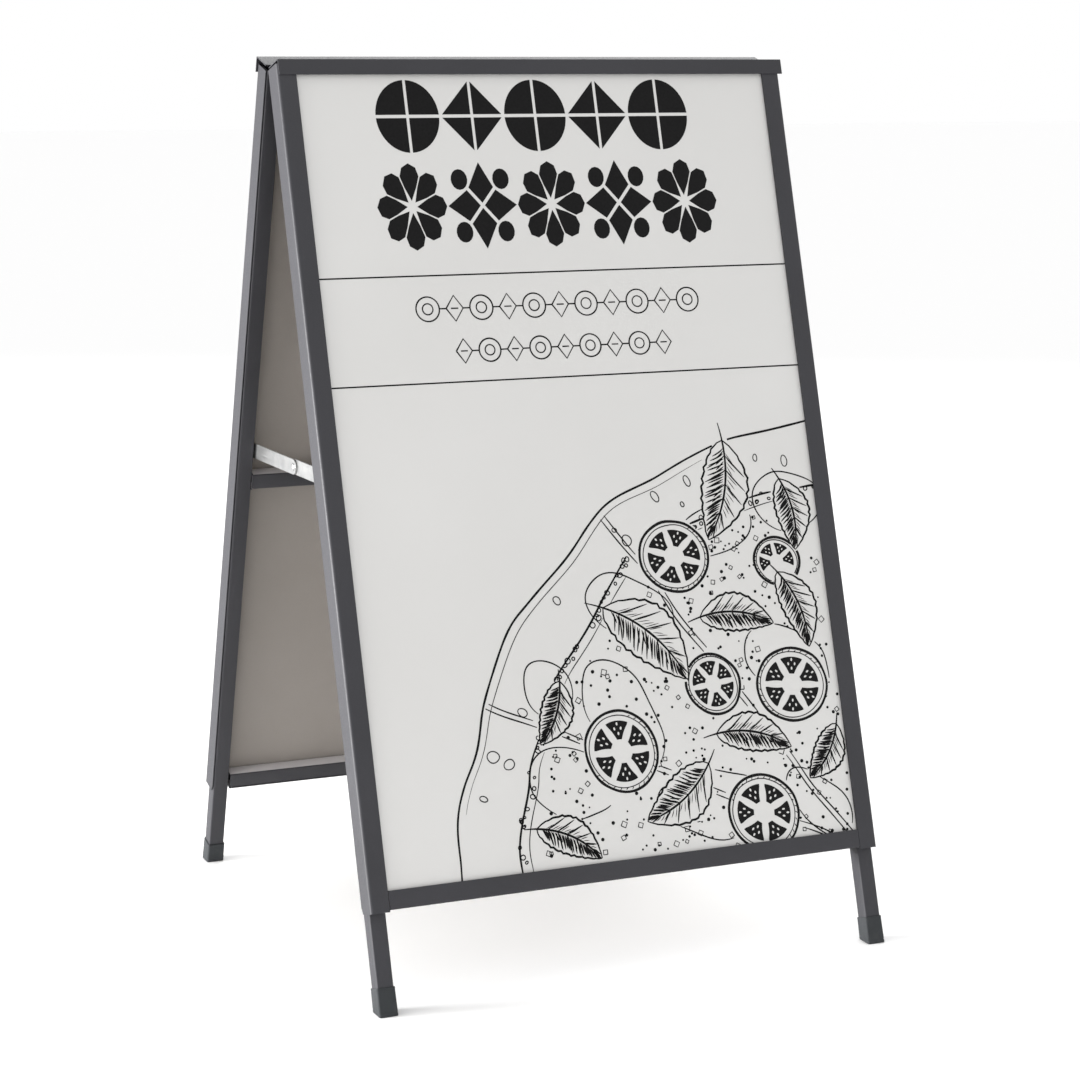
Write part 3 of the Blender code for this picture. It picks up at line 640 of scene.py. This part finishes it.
def make_stays():
    for label, side in (("left", -1), ("right", 1)):
        outer = sorted((side * REAR_BAR_X, side * (REAR_BAR_X + BAR_THICK)))
        inner = sorted((side * FRONT_BAR_X, side * (FRONT_BAR_X + BAR_THICK)))
        make_stay_bar(label, "rear", outer, -1)
        make_stay_bar(label, "front", inner, 1)
        leg = LEG_IN - GAP
        for which, bar_x, sign in (("rear", REAR_BAR_X, 1), ("front", FRONT_BAR_X, -1)):
            wall = bar_x + BAR_THICK + GAP
            profile = [(leg, 0.0050), (wall + 0.0002, 0.0050), (wall, 0.0048), (wall, 0.0022), (bar_x - GAP, 0.0022), (bar_x - GAP, 0.0045), (bar_x - 0.0007, 0.0044), (bar_x - 0.0013, 0.0038), (bar_x - 0.0017, 0.0028), (bar_x - 0.0019, 0.0014)]
            bm = bmesh.new()
            turned(bm, [(side * s, r) for s, r in profile], 32, lambda s, a, b: Vector((s, sign * PIVOT_Y + a, PIVOT_Z + b)))
            finish_piece(f"stay_{label}_{which}_bolt", bm, Matrix.Identity(4), "zinc", f"{which}_leaf", [f"stay_{label}_{which}_pivot"], angle=40)
        out = REAR_BAR_X + BAR_THICK
        centre = lambda s, a, b: Vector((s, a, PIVOT_Z + b))
        bm = bmesh.new()
        turned(bm, [(side * s, r) for s, r in ((out + 0.0013, 0.0018), (out + 0.0011, 0.0030), (out + 0.0007, 0.0040), (out + GAP, 0.0043), (out + GAP, 0.0022), (REAR_BAR_X + 0.0001, 0.0022))], 32, centre)
        finish_piece(f"stay_{label}_rivet_head_dome", bm, Matrix.Identity(4), "zinc", f"stay_{label}_rear", [f"stay_{label}_rivet_head"], angle=40)
        bm = bmesh.new()
        turned(bm, [(side * s, r) for s, r in ((FRONT_BAR_X + BAR_THICK - 0.0001, 0.0022), (FRONT_BAR_X - GAP, 0.0022), (FRONT_BAR_X - GAP, 0.0043), (FRONT_BAR_X - 0.0007, 0.0040), (FRONT_BAR_X - 0.0011, 0.0031), (FRONT_BAR_X - 0.0014, 0.0018))], 32, centre)
        finish_piece(f"stay_{label}_rivet_tail_dome", bm, Matrix.Identity(4), "zinc", f"stay_{label}_front", [f"stay_{label}_rivet_tail"], angle=40)


# ----------------------------------------------------------- printed design
INK_LOW, INK_HIGH = BOARD[1] + 0.00001, BOARD[1] + 0.00013
CLIP = (-0.3040, 0.3040, 0.0080, 0.9390)


class Ink:
    """Closed slips of ink in the board's plane, x across and v down."""

    def __init__(self):
        self.bm, self.paper = bmesh.new(), bmesh.new()
        self.over = []

    def free(self, x, v):
        return not any(test(x, v) for test in self.over)

    def slab(self, outline, paper=False):
        if any(not (CLIP[0] < x < CLIP[1] and CLIP[2] < v < CLIP[3]) or not self.free(x, v) for x, v in outline):
            return
        bm, lift = (self.paper, 0.00016) if paper else (self.bm, 0.0)
        low = [bm.verts.new(at(x, INK_LOW + lift, v)) for x, v in outline]
        high = [bm.verts.new(at(x, INK_HIGH + lift, v)) for x, v in outline]
        bm.faces.new(low)
        bm.faces.new(list(reversed(high)))
        for i in range(len(low)):
            j = (i + 1) % len(low)
            bm.faces.new((low[i], high[i], high[j], low[j]))

    def stroke(self, points, width, taper=0.35, seed=0):
        """A pen line: width swells in the middle and wavers a little."""
        run = []
        for p in points:
            inside = CLIP[0] < p[0] < CLIP[1] and CLIP[2] < p[1] < CLIP[3] and self.free(*p)
            if inside:
                run.append(p)
            else:
                self._run(run, width, taper, seed)
                run = []
        self._run(run, width, taper, seed)

    def _run(self, pts, width, taper, seed):
        if len(pts) < 2:
            return
        left, right = [], []
        n = len(pts)
        for i, p in enumerate(pts):
            a, b = pts[max(0, i - 1)], pts[min(n - 1, i + 1)]
            dx, dv = b[0] - a[0], b[1] - a[1]
            length = math.hypot(dx, dv) or 1e-9
            swell = 1 - (1 - taper) * abs(2 * i / (n - 1) - 1) ** 3
            waver = 1 + 0.18 * noise.noise(Vector((p[0] * 60, p[1] * 60, seed)))
            h = width / 2 * swell * waver
            left.append((p[0] - dv / length * h, p[1] + dx / length * h))
            right.append((p[0] + dv / length * h, p[1] - dx / length * h))
        low_l = [self.bm.verts.new(at(x, INK_LOW, v)) for x, v in left]
        low_r = [self.bm.verts.new(at(x, INK_LOW, v)) for x, v in right]
        high_l = [self.bm.verts.new(at(x, INK_HIGH, v)) for x, v in left]
        high_r = [self.bm.verts.new(at(x, INK_HIGH, v)) for x, v in right]
        for i in range(n - 1):
            self.bm.faces.new((low_l[i], low_l[i + 1], low_r[i + 1], low_r[i]))
            self.bm.faces.new((high_l[i], high_r[i], high_r[i + 1], high_l[i + 1]))
            self.bm.faces.new((low_l[i], high_l[i], high_l[i + 1], low_l[i + 1]))
            self.bm.faces.new((low_r[i], low_r[i + 1], high_r[i + 1], high_r[i]))
        self.bm.faces.new((low_l[0], low_r[0], high_r[0], high_l[0]))
        self.bm.faces.new((low_l[-1], high_l[-1], high_r[-1], low_r[-1]))


def arc(cx, cv, r, a, b, count, squeeze=1.0, turn=0.0):
    out = []
    for i in range(count + 1):
        t = a + (b - a) * i / count
        x, v = r * math.cos(t), r * squeeze * math.sin(t)
        out.append((cx + x * math.cos(turn) - v * math.sin(turn), cv + x * math.sin(turn) + v * math.cos(turn)))
    return out


def wobble(points, size, scale, seed):
    return [(x + size * noise.noise(Vector((x * scale, v * scale, seed))), v + size * noise.noise(Vector((x * scale, v * scale, seed + 9.1)))) for x, v in points]


def leaf_cover(cx, cv, length, width, turn, seed, fold=0.4):
    """Test for points that lie under a leaf."""
    c, s = math.cos(turn), math.sin(turn)

    def test(x, v):
        a, b = (x - cx) * c + (v - cv) * s, (v - cv) * c - (x - cx) * s
        u = a / length + 0.5
        if not 0 < u < 1:
            return False
        return abs(b - fold * (u - 0.5) ** 2 * length) < width / 2 * 1.06 * math.sin(math.pi * u ** 0.85) ** 0.8
    return test


def fruit_cover(cx, cv, r, turn, seed):
    return lambda x, v: math.hypot(x - cx, v - cv) < r * 0.99


def leaf_shape(ink, cx, cv, length, width, turn, seed, fold=0.0):
    """A pointed leaf with a midrib, side veins and hatching on one half."""
    c, s = math.cos(turn), math.sin(turn)

    def put(u, k):
        bend = fold * (u - 0.5) ** 2 * length
        a, b = (u - 0.5) * length, k * width / 2 + bend
        return (cx + a * c - b * s, cv + a * s + b * c)

    def edge(u):
        return math.sin(math.pi * min(1.0, u) ** 0.85) ** 0.8 if 0 < u < 1 else 0.0

    n = 26
    for sign in (1, -1):
        pts = [put(i / n, sign * edge(i / n) * (1 + 0.05 * math.sin(i * 2.4 + seed))) for i in range(n + 1)]
        ink.stroke(pts, 0.0026, 0.5, seed)
    ink.stroke([put(-0.16 + 1.12 * i / 16, 0.0) for i in range(17)], 0.0026, 0.4, seed)
    veins = 6
    for i in range(1, veins + 1):
        u = i / (veins + 1.2)
        for sign in (1, -1):
            tip = min(0.97, u + 0.17)
            pts = [put(u + (tip - u) * k / 6, sign * edge(tip) * 0.88 * (k / 6) ** 1.15) for k in range(7)]
            ink.stroke(pts, 0.0018, 0.3, seed + i)
    hatches = 34
    for i in range(hatches):
        u = 0.08 + 0.84 * i / hatches
        start, stop = 0.10, 0.42 + 0.42 * abs(math.sin(i * 1.7 + seed))
        pts = [put(min(0.985, u + 0.10 * k / 4), (start + (stop - start) * k / 4) * edge(min(0.985, u + 0.10 * k / 4))) for k in range(5)]
        ink.stroke(pts, 0.0019, 0.30, seed + i)
    for i in range(18):
        u = 0.12 + 0.76 * i / 18
        stop = 0.30 + 0.2 * abs(math.cos(i * 2.3 + seed))
        pts = [put(min(0.985, u + 0.08 * k / 3), -(0.08 + (stop - 0.08) * k / 3) * edge(min(0.985, u + 0.08 * k / 3))) for k in range(4)]
        ink.stroke(pts, 0.0009, 0.25, seed + i)


def slice_shape(ink, cx, cv, r, turn, seed, squeeze=0.92):
    """A round cut fruit: rind, pith, wedges with seeds and a hatched rim."""
    full = 2 * math.pi
    ink.stroke(wobble(arc(cx, cv, r, 0, full, 48, squeeze, turn), 0.0012, 40, seed), 0.0032, 0.9, seed)
    ink.stroke(wobble(arc(cx, cv, r * 0.90, 0, full, 44, squeeze, turn), 0.0012, 40, seed + 2), 0.0012, 0.9, seed)
    wedges = 6
    for k in range(wedges):
        mid = full * (k + 0.5) / wedges
        span = full / wedges * 0.40
        pts = []
        for i in range(13):
            t = mid - span + 2 * span * i / 12
            pts.append((r * 0.76 * math.cos(t), r * 0.76 * math.sin(t)))
        for i in range(6):
            q = 1 - i / 5
            t = mid + span * (0.55 + 0.45 * q)
            pts.append((r * (0.30 + 0.40 * q) * math.cos(t), r * (0.30 + 0.40 * q) * math.sin(t)))
        for i in range(6):
            q = i / 5
            t = mid - span * (0.55 + 0.45 * q)
            pts.append((r * (0.30 + 0.40 * q) * math.cos(t), r * (0.30 + 0.40 * q) * math.sin(t)))
        def spin(x, v):
            return (cx + x * math.cos(turn) - v * squeeze * math.sin(turn), cv + x * math.sin(turn) + v * squeeze * math.cos(turn))
        ink.slab([spin(x, v) for x, v in pts])
        for q, off in ((0.44, 0.0), (0.57, -0.38), (0.57, 0.38), (0.68, 0.0)):
            t = mid + span * off
            centre = spin(r * q * math.cos(t), r * q * math.sin(t))
            ink.slab(arc(centre[0], centre[1], r * 0.040, 0, full * 9 / 10, 9, 0.6, t + turn), paper=True)
    for i in range(34):
        t = full * i / 34
        if math.sin(t + seed) > -0.35:
            a, b = r * 0.91, r * (0.965 + 0.03 * math.sin(i * 1.9))
            p = [(a * math.cos(t), a * math.sin(t)), (b * math.cos(t + 0.05), b * math.sin(t + 0.05))]
            p = [(cx + x * math.cos(turn) - v * squeeze * math.sin(turn), cv + x * math.sin(turn) + v * squeeze * math.cos(turn)) for x, v in p]
            ink.stroke(p, 0.0012, 0.8, seed + i)


def petal_motif(ink, cx, cv, w, h, kind):
    """Bold stencilled ornaments: parted discs, lozenges and fans."""
    def shape(points):
        ink.slab([(cx + x * w / 2, cv + v * h / 2) for x, v in points])

    slit = 0.045
    if kind == "disc":
        for sx, sv in ((1, 1), (1, -1), (-1, 1), (-1, -1)):
            low_t = math.asin(slit)
            pts = [(slit, slit)] + [(math.cos(low_t + (math.pi / 2 - 2 * low_t) * i / 12), math.sin(low_t + (math.pi / 2 - 2 * low_t) * i / 12)) for i in range(13)]
            shape([(sx * x, sv * v) for x, v in pts])
    elif kind == "lozenge":
        for sx, sv in ((1, 1), (1, -1), (-1, 1), (-1, -1)):
            shape([(sx * slit, sv * slit), (sx * (1.0 - slit), sv * slit), (sx * slit, sv * (1.0 - slit))])
    elif kind == "flower":
        for k in range(8):
            t = math.pi / 4 * k
            c, s = math.cos(t), math.sin(t)
            raw = [(0.14, 0.0), (0.45, -0.17), (0.70, -0.27), (0.90, -0.20), (1.0, 0.0), (0.90, 0.20), (0.70, 0.27), (0.45, 0.17)]
            shape([(x * c - v * s, x * s + v * c) for x, v in raw])
    elif kind == "star":
        for k in range(4):
            t = math.pi / 2 * k
            c, s = math.cos(t), math.sin(t)
            raw = [(0.06, 0.0), (0.42, -0.36), (1.0, 0.0), (0.42, 0.36)]
            shape([(x * c - v * s, x * s + v * c) for x, v in raw])
        for k in range(4):
            t = math.pi / 2 * k + math.pi / 4
            shape([(0.86 * math.cos(t) + 0.24 * math.cos(full_turn * i / 16), 0.86 * math.sin(t) + 0.24 * math.sin(full_turn * i / 16)) for i in range(16)])


full_turn = 2 * math.pi


def bar_rule(ink, x0, x1, v, width):
    ink.slab([(x0, v - width / 2), (x1, v - width / 2), (x1, v + width / 2), (x0, v + width / 2)])


def make_artwork():
    ink = Ink()
    full = 2 * math.pi
    # two bold ornamental bands
    row = ["disc", "lozenge", "disc", "lozenge", "disc"]
    for i, kind in enumerate(row):
        petal_motif(ink, -0.2045 + 0.3925 * (i + 0.5) / 5, 0.0650, 0.0765, 0.084, kind)
    row = ["flower", "star", "flower", "star", "flower"]
    for i, kind in enumerate(row):
        petal_motif(ink, -0.2145 + 0.4275 * (i + 0.5) / 5, 0.1690, 0.0840, 0.100, kind)
    # thin rules from edge to edge
    for v in (0.2480, 0.3700):
        bar_rule(ink, -0.3035, 0.3035, v, 0.0017)
    # two thin chains of rings and lozenges between the rules
    def chain(x0, x1, v, count, r, flip):
        pitch = (x1 - x0) / count
        for i in range(count):
            cx = x0 + pitch * (i + 0.5)
            if (i + flip) % 2 == 0:
                ink.stroke(arc(cx, v, r, 0, full, 30), 0.0017, 1.0, i)
                ink.stroke(arc(cx, v, r * 0.45, 0, full, 18), 0.0015, 1.0, i)
            else:
                k = r * 1.05
                ink.stroke([(cx - k * 0.7, v), (cx, v - k), (cx + k * 0.7, v), (cx, v + k), (cx - k * 0.7, v)], 0.0017, 1.0, i)
                ink.stroke([(cx - k * 0.30, v), (cx + k * 0.30, v)], 0.0015, 1.0, i)
            if i < count - 1:
                a = r if (i + flip) % 2 == 0 else r * 0.735
                b = r * 0.735 if (i + flip) % 2 == 0 else r
                ink.stroke([(cx + a, v), (cx + pitch - b, v)], 0.0016, 1.0, i)
    chain(-0.184, 0.174, 0.2860, 11, 0.0140, 0)
    chain(-0.145, 0.136, 0.3350, 9, 0.0132, 1)

    # leaves and cut fruit lie over the rest of the drawing
    leaves = tuple((x, v, length * 1.22, width * 1.30, turn, seed) for x, v, length, width, turn, seed in (
        (0.175, 0.515, 0.098, 0.046, 1.85, 1), (0.060, 0.672, 0.108, 0.050, 0.75, 3), (0.172, 0.655, 0.078, 0.034, 0.15, 5),
        (0.255, 0.655, 0.078, 0.034, 1.25, 6), (0.075, 0.862, 0.084, 0.042, 2.55, 7), (0.176, 0.795, 0.080, 0.034, 0.25, 8),
        (0.262, 0.545, 0.070, 0.034, 1.45, 9), (-0.068, 0.888, 0.070, 0.032, 0.5, 10), (0.268, 0.830, 0.060, 0.030, 2.2, 11), (-0.070, 0.752, 0.062, 0.030, 2.0, 2)))
    fruit = ((0.100, 0.585, 0.044, 0.3, 1), (0.005, 0.800, 0.047, 1.0, 2), (0.175, 0.888, 0.046, 0.6, 3), (0.232, 0.745, 0.046, 0.1, 4), (0.130, 0.735, 0.036, 0.9, 5), (0.232, 0.600, 0.030, 0.4, 6))
    covers = [leaf_cover(*leaf) for leaf in leaves] + [fruit_cover(*piece) for piece in fruit]
    ink.over = covers
    # line drawing: a round loaf cut in slices, with leaves and cut fruit
    CX, CV, R = 0.300, 0.945, 0.505
    def ring(radius, seed, size, count=150, a=math.pi * 0.98, b=math.pi * 1.55):
        pts = arc(CX, CV, radius, a, b, count)
        return wobble(pts, size, 11, seed)
    ink.stroke(ring(R, 1.0, 0.009), 0.0026, 0.8, 1)
    ink.stroke(ring(R - 0.009, 1.0, 0.009, 90, math.pi * 1.06, math.pi * 1.40), 0.0010, 0.3, 2)
    for k, (a, b) in enumerate(((0.99, 1.135), (1.145, 1.30), (1.312, 1.50))):
        ink.stroke(ring(R - 0.072, 7.0 + k, 0.016, 70, math.pi * a, math.pi * b), 0.0026, 0.6, 3)
        ink.stroke(ring(R - 0.084, 7.0 + k, 0.016, 70, math.pi * (a + 0.01), math.pi * (b - 0.012)), 0.0012, 0.4, 4)
        rng = random.Random(40 + k)
        for i in range(int((b - a) * 190)):
            t = math.pi * rng.uniform(a, b)
            q = R - 0.076 + rng.uniform(-0.004, 0.006)
            p = wobble([(CX + q * math.cos(t), CV + q * math.sin(t))], 0.016, 11, 7.0 + k)[0]
            ink.stroke(arc(p[0], p[1], rng.uniform(0.0016, 0.0036), 0, full, 9, rng.uniform(0.6, 1.0), rng.uniform(0, 3)), 0.0014, 0.9, i)
    # cuts between the slices
    for angle, seed in ((1.140, 11), (1.306, 12)):
        for shift in (-0.0022, 0.0022):
            pts = [(CX + (R * q) * math.cos(math.pi * angle) + shift, CV + (R * q) * math.sin(math.pi * angle) - shift) for q in [0.02 + 0.97 * i / 60 for i in range(61)]]
            ink.stroke(wobble(pts, 0.006, 14, seed), 0.0017, 0.6, seed)
    # blisters on the crust
    rng = random.Random(5)
    for i in range(15):
        t = math.pi * rng.uniform(1.0, 1.50)
        q = R - rng.uniform(0.022, 0.050)
        ink.stroke(wobble(arc(CX + q * math.cos(t), CV + q * math.sin(t), rng.uniform(0.003, 0.0075), 0, full, 18, rng.uniform(0.5, 0.9), t), 0.002, 60, i), 0.0013, 0.9, i)
    # sauce outlines
    for i, (x, v, r, squeeze, turn) in enumerate(((0.035, 0.640, 0.060, 0.6, 0.5), (0.150, 0.560, 0.055, 0.55, -0.4), (0.010, 0.760, 0.070, 0.55, 1.1), (0.120, 0.870, 0.075, 0.5, 0.1), (0.230, 0.720, 0.060, 0.7, 0.6), (-0.060, 0.830, 0.052, 0.7, 0.4), (0.255, 0.530, 0.045, 0.7, 0.0), (0.250, 0.885, 0.050, 0.6, 0.8), (-0.075, 0.720, 0.036, 0.7, 0.9))):
        ink.stroke(wobble(arc(x, v, r, 0.2, full - 0.3, 70, squeeze, turn), 0.009, 17, 20 + i), 0.0017, 0.6, i)
    ink.over = []
    for k, leaf in enumerate(leaves):
        ink.over = [leaf_cover(*other) for other in leaves[:k]]
        leaf_shape(ink, *leaf, 0.4)
    for k, piece in enumerate(fruit):
        ink.over = [leaf_cover(*leaf) for leaf in leaves] + [fruit_cover(*other) for other in fruit[:k]]
        slice_shape(ink, *piece)
    ink.over = covers
    # scattered herbs and crumbs
    rng = random.Random(11)
    placed = 0
    while placed < 320:
        x, v = rng.uniform(-0.19, 0.29), rng.uniform(0.46, 0.93)
        q, t = math.hypot(x - CX, v - CV), math.atan2(v - CV, x - CX) % full
        if q > R - 0.095 or not math.pi * 0.99 < t < math.pi * 1.5:
            continue
        if not ink.free(x, v):
            continue
        r = rng.uniform(0.0010, 0.0023)
        if rng.random() < 0.25:
            k = rng.uniform(0.0025, 0.0042)
            a = rng.uniform(0, 3)
            ink.stroke([(x + k * math.cos(a + full * i / 4), v + k * math.sin(a + full * i / 4)) for i in range(5)], 0.0012, 1.0, placed)
        else:
            ink.slab([(x + r * math.cos(full * i / 8), v + r * math.sin(full * i / 8)) for i in range(8)])
        placed += 1
    return ink.bm, ink.paper


# ------------------------------------------------------------------ assembly
art_meshes = []
for layer in make_artwork():
    art_meshes.append(bpy.data.meshes.new("art"))
    layer.to_mesh(art_meshes[-1])
    layer.free()
for prefix in ("front", "rear"):
    for label, side in SIDES[prefix].items():
        make_leg(prefix, label, side)
        make_stile(prefix, label, side)
        make_foot(prefix, label, side)
        make_cap_fixing(prefix, label, side * SCREW_X)
        make_weld(prefix, f"middle_weld_{label}", MID_BAR, side, 3 + side)
        make_weld(prefix, f"top_weld_{label}", (LEG_TOP, LEG_TOP + TUBE), side, 13 + side)
    make_crossbar(prefix, "top_bar", (LEG_TOP, LEG_TOP + TUBE), LEG_IN - GAP)
    make_crossbar(prefix, "middle_bar", MID_BAR, LEG_IN - GAP)
    make_crossbar(prefix, "bottom_bar", BOTTOM_BAR, BOTTOM_HALF)
    make_rail(prefix)
    make_cap(prefix)
    make_panel(prefix, "backing_panel", BACKING, "backing", f"{prefix}_backing_panel")
    make_panel(prefix, "printed_board", BOARD, "board", f"{prefix}_printed_board")
    for layer, name, finish in zip(art_meshes, ("print", "print_seeds"), ("ink", "board")):
        print_bm = bmesh.new()
        print_bm.from_mesh(layer)
        finish_piece(f"{prefix}_board_{name}", print_bm, LEAF[prefix], finish, f"{prefix}_leaf", smooth=False)
for layer in art_meshes:
    bpy.data.meshes.remove(layer)

CENTRE_SPAN, END_SPANS = [(-0.0116, 0.0116)], [(-0.030, -0.012), (0.012, 0.030)]
for label, x in (("left", -HINGE_X), ("right", HINGE_X)):
    make_hinge_leaf(label, "front", x, CENTRE_SPAN)
    make_hinge_leaf(label, "rear", -x, END_SPANS)
    make_hinge_pin(label, x)
make_stays()

# ------------------------------------------------------- floor, light, camera
floor_mesh = bpy.data.meshes.new("floor")
bm = bmesh.new()
size = 40.0
ring = [bm.verts.new(p) for p in ((-size, -size, -0.0002), (size, -size, -0.0002), (size, size, -0.0002), (-size, size, -0.0002))]
bm.faces.new(ring)
bm.to_mesh(floor_mesh)
bm.free()
floor = bpy.data.objects.new("floor", floor_mesh)
bpy.context.scene.collection.objects.link(floor)
mat = bpy.data.materials.new("floor_pale")
mat.use_nodes = True
mat.node_tree.nodes["Principled BSDF"].inputs["Base Color"].default_value = (0.985, 0.985, 0.985, 1)
mat.node_tree.nodes["Principled BSDF"].inputs["Roughness"].default_value = 0.9
mat.node_tree.nodes["Principled BSDF"].inputs["Specular IOR Level"].default_value = 0.1
floor_mesh.materials.append(mat)

world = bpy.data.worlds.new("studio")
bpy.context.scene.world = world
world.use_nodes = True
world.node_tree.nodes["Background"].inputs["Color"].default_value = (1, 1, 1, 1)
world.node_tree.nodes["Background"].inputs["Strength"].default_value = 1.0


def area_light(name, position, target, size_x, size_y, power, colour=(1, 1, 1)):
    data = bpy.data.lights.new(name, "AREA")
    data.shape = "RECTANGLE"
    data.size, data.size_y = size_x, size_y
    data.energy = power
    data.color = colour
    obj = bpy.data.objects.new(name, data)
    bpy.context.scene.collection.objects.link(obj)
    obj.location = position
    obj.rotation_mode = "QUATERNION"
    obj.rotation_quaternion = (Vector(target) - Vector(position)).to_track_quat("-Z", "Y")
    return obj


area_light("softbox_back_high", (2.0, 3.8, 3.5), (0, 0, 1.0), 3.0, 3.0, 92)
side_light = area_light("softbox_side", (-4.0, 0.75, 0.65), (-0.315, 0.0, 0.5), 1.0, 1.0, 40)
side_light.data.spread = math.radians(60)
area_light("softbox_left", (-1.9, -0.25, 0.60), (0, 0.15, 0.5), 0.8, 0.6, 13, (1.0, 0.98, 0.95))

camera_data = bpy.data.cameras.new("camera")
camera = bpy.data.objects.new("camera", camera_data)
bpy.context.scene.collection.objects.link(camera)
yaw, pitch, roll = math.radians(23.863), math.radians(10.544), math.radians(-0.024)
forward = Vector((math.sin(yaw) * math.cos(pitch), math.cos(yaw) * math.cos(pitch), -math.sin(pitch)))
right = Vector((math.cos(yaw), -math.sin(yaw), 0.0))
up = right.cross(forward)
right, up = right * math.cos(roll) + up * math.sin(roll), up * math.cos(roll) - right * math.sin(roll)
camera.matrix_world = Matrix.Translation((-1.26925, -2.89010, HINGE_Z - 0.00025)) @ Matrix((right, up, -forward)).transposed().to_4x4()
camera_data.sensor_width = 36.0
camera_data.lens = 89.05
camera_data.shift_x = 0.00649
camera_data.shift_y = 0.02307
camera_data.clip_start, camera_data.clip_end = 0.05, 120.0
bpy.context.scene.camera = camera
bpy.context.scene.view_settings.view_transform = "Standard"
bpy.context.scene.view_settings.look = "None"
